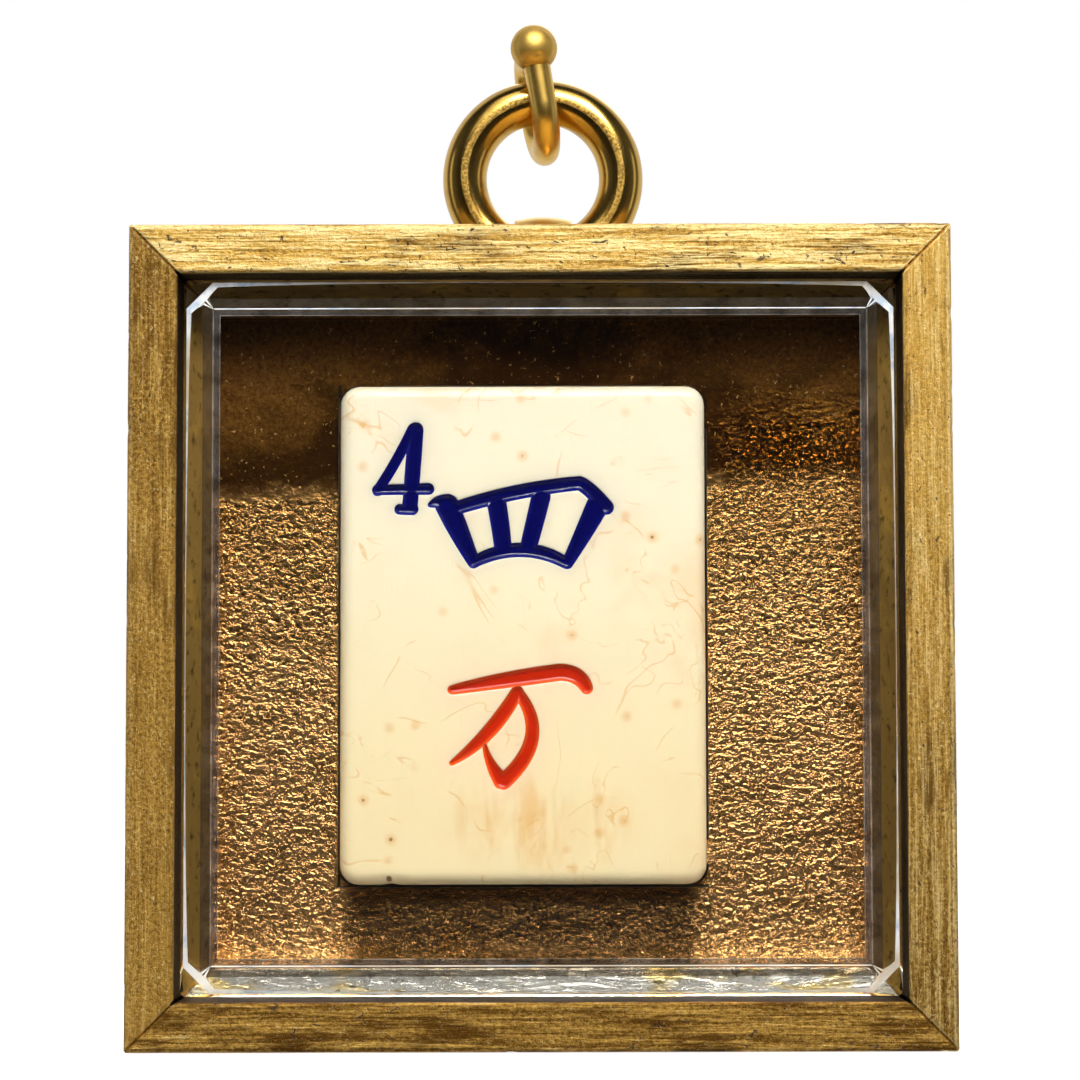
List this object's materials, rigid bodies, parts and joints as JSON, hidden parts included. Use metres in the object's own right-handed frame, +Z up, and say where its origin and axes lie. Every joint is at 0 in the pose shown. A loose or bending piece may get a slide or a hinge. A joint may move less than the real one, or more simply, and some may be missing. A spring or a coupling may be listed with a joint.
{
  "type": "framed mahjong tile ornament",
  "caption": "Bone and bamboo mahjong tile shown behind bevelled glass in a small square gilt frame, hung by a brass ring and a ball-ended hook.",
  "frame": {"origin": "middle of the underside of the bottom rail, which the frame stands on", "axes": "+X to the right seen from the front, +Y from the front to the back, +Z up"},
  "size_m": [0.05, 0.0242, 0.0663],
  "materials": {
    "gilt_wood": "satin",
    "glass": "polished",
    "bronze_leaf": "satin",
    "card": "matte",
    "pale_wood": "matte",
    "bone": "satin",
    "bamboo": "satin",
    "blue_paint": "gloss",
    "red_paint": "gloss",
    "glue": "matte",
    "steel": "satin",
    "brass": "polished"
  },
  "bodies": {
    "frame": {"bottom_rail": "gilt_wood", "left_rail": "gilt_wood", "top_rail": "gilt_wood", "right_rail": "gilt_wood", "bottom_fillet": "gilt_wood", "left_fillet": "gilt_wood", "top_fillet": "gilt_wood", "right_fillet": "gilt_wood", "mitre_nails": "steel", "bevelled_glass": "glass", "leaf_sheet": "bronze_leaf", "leaf_board": "card", "well_block": "pale_wood", "tile_face": "bone", "tile_back": "bamboo", "numeral_paint": "blue_paint", "upper_mark_paint": "blue_paint", "lower_mark_paint": "red_paint", "glue_pad": "glue", "back_board": "pale_wood", "back_nails": "steel", "hanger_strap": "brass", "strap_screw": "brass"},
    "ring": {"hanging_ring": "brass"},
    "hook": {"hook_wire": "brass", "hook_ball": "brass"}
  },
  "joints": [
    {"name": "ring_swing", "type": "hinge", "parent": "frame", "child": "ring", "pos_m": [0.0002, 0.01151, 0.05143], "axis": [1, 0, 0], "range_deg": [-145, 55]},
    {"name": "hook_turn", "type": "hinge", "parent": "ring", "child": "hook", "pos_m": [-0.00016, 0.01151, 0.06164], "axis": [0.9976, 0, 0.0698], "continuous": true}
  ]
}
